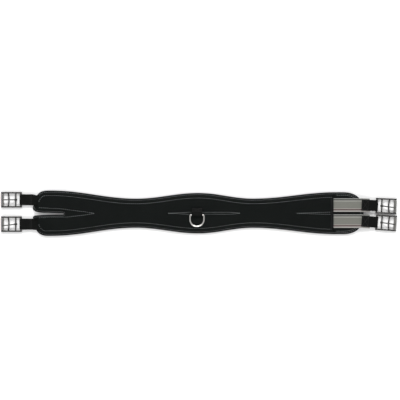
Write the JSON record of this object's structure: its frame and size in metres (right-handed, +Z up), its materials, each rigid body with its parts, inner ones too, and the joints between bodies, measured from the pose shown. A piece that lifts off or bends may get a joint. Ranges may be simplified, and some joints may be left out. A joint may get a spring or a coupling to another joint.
{
  "type": "saddle girth",
  "caption": "Contoured padded saddle girth with roller buckles at both ends, elastic straps at one end, split fingers at the other and a D-ring in the middle.",
  "frame": {"origin": "middle of the footprint, on the surface that the girth lies on", "axes": "+X along the girth towards the elastic end, +Y across it, +Z up out of its outer face"},
  "size_m": [0.9002, 0.1032, 0.0186],
  "materials": {
    "cover_fabric": "matte woven",
    "lining_fabric": "matte brushed",
    "foam": "matte closed cell",
    "binding_tape": "satin ribbed",
    "webbing": "ribbed webbing",
    "elastic": "striped ribbed elastic",
    "buckle_steel": "polished",
    "ring_steel": "polished"
  },
  "bodies": {
    "girth": {"lining": "lining_fabric", "foam_core": "foam", "face_cover": "cover_fabric", "flap_cover": "cover_fabric", "edge_binding": "binding_tape", "hem_tape": "binding_tape", "upper_webbing_strap": "webbing", "lower_webbing_strap": "webbing", "upper_elastic": "elastic", "lower_elastic": "elastic", "d_ring_chape": "webbing"},
    "upper_right_tab": {"upper_right_tab": "webbing"},
    "lower_right_tab": {"lower_right_tab": "webbing"},
    "d_ring": {"d_ring": "ring_steel"},
    "upper_left_buckle": {"upper_left_buckle_frame": "buckle_steel"},
    "upper_left_roller": {"upper_left_roller": "buckle_steel"},
    "upper_left_tongue": {"upper_left_tongue": "buckle_steel"},
    "lower_left_buckle": {"lower_left_buckle_frame": "buckle_steel"},
    "lower_left_roller": {"lower_left_roller": "buckle_steel"},
    "lower_left_tongue": {"lower_left_tongue": "buckle_steel"},
    "upper_right_buckle": {"upper_right_buckle_frame": "buckle_steel"},
    "upper_right_roller": {"upper_right_roller": "buckle_steel"},
    "upper_right_tongue": {"upper_right_tongue": "buckle_steel"},
    "lower_right_buckle": {"lower_right_buckle_frame": "buckle_steel"},
    "lower_right_roller": {"lower_right_roller": "buckle_steel"},
    "lower_right_tongue": {"lower_right_tongue": "buckle_steel"}
  },
  "joints": [
    {"name": "upper_elastic_stretch", "type": "slide", "parent": "girth", "child": "upper_right_tab", "axis": [0.9993, -0.0384, 0], "range_m": [0, 0.025], "stiffness_N_per_m": 400, "deforming": ["upper_elastic"]},
    {"name": "lower_elastic_stretch", "type": "slide", "parent": "girth", "child": "lower_right_tab", "axis": [0.9973, -0.0732, 0], "range_m": [0, 0.025], "stiffness_N_per_m": 400, "deforming": ["lower_elastic"]},
    {"name": "upper_left_buckle_swing", "type": "hinge", "parent": "girth", "child": "upper_left_buckle", "pos_m": [-0.4044, 0.0305, 0.0036], "axis": [0, 1, 0], "range_deg": [-60, 70]},
    {"name": "upper_left_tongue_pivot", "type": "hinge", "parent": "upper_left_buckle", "child": "upper_left_tongue", "pos_m": [-0.4164, 0.0305, 0.0036], "axis": [0, 1, 0], "range_deg": [0, 95]},
    {"name": "upper_left_roller_spin", "type": "hinge", "parent": "upper_left_buckle", "child": "upper_left_roller", "pos_m": [-0.4467, 0.0305, 0.0036], "axis": [0, 1, 0], "continuous": true},
    {"name": "lower_left_buckle_swing", "type": "hinge", "parent": "girth", "child": "lower_left_buckle", "pos_m": [-0.4044, -0.0249, 0.0036], "axis": [0, 1, 0], "range_deg": [-60, 70]},
    {"name": "lower_left_tongue_pivot", "type": "hinge", "parent": "lower_left_buckle", "child": "lower_left_tongue", "pos_m": [-0.4164, -0.0249, 0.0036], "axis": [0, 1, 0], "range_deg": [0, 95]},
    {"name": "lower_left_roller_spin", "type": "hinge", "parent": "lower_left_buckle", "child": "lower_left_roller", "pos_m": [-0.4467, -0.0249, 0.0036], "axis": [0, 1, 0], "continuous": true},
    {"name": "upper_right_buckle_swing", "type": "hinge", "parent": "upper_right_tab", "child": "upper_right_buckle", "pos_m": [0.40347, 0.01716, 0.0036], "axis": [-0.0384, -0.9993, 0], "range_deg": [-60, 70]},
    {"name": "upper_right_tongue_pivot", "type": "hinge", "parent": "upper_right_buckle", "child": "upper_right_tongue", "pos_m": [0.41547, 0.0167, 0.0036], "axis": [-0.0384, -0.9993, 0], "range_deg": [0, 95]},
    {"name": "upper_right_roller_spin", "type": "hinge", "parent": "upper_right_buckle", "child": "upper_right_roller", "pos_m": [0.44574, 0.01554, 0.0036], "axis": [-0.0384, -0.9993, 0], "continuous": true},
    {"name": "lower_right_buckle_swing", "type": "hinge", "parent": "lower_right_tab", "child": "lower_right_buckle", "pos_m": [0.40341, -0.02045, 0.0036], "axis": [-0.0732, -0.9973, 0], "range_deg": [-60, 70]},
    {"name": "lower_right_tongue_pivot", "type": "hinge", "parent": "lower_right_buckle", "child": "lower_right_tongue", "pos_m": [0.41537, -0.02133, 0.0036], "axis": [-0.0732, -0.9973, 0], "range_deg": [0, 95]},
    {"name": "lower_right_roller_spin", "type": "hinge", "parent": "lower_right_buckle", "child": "lower_right_roller", "pos_m": [0.44559, -0.02355, 0.0036], "axis": [-0.0732, -0.9973, 0], "continuous": true},
    {"name": "d_ring_swing", "type": "hinge", "parent": "girth", "child": "d_ring", "pos_m": [-0.0045, -0.0035, 0.0155], "axis": [-1, 0, 0], "range_deg": [0, 165]}
  ]
}
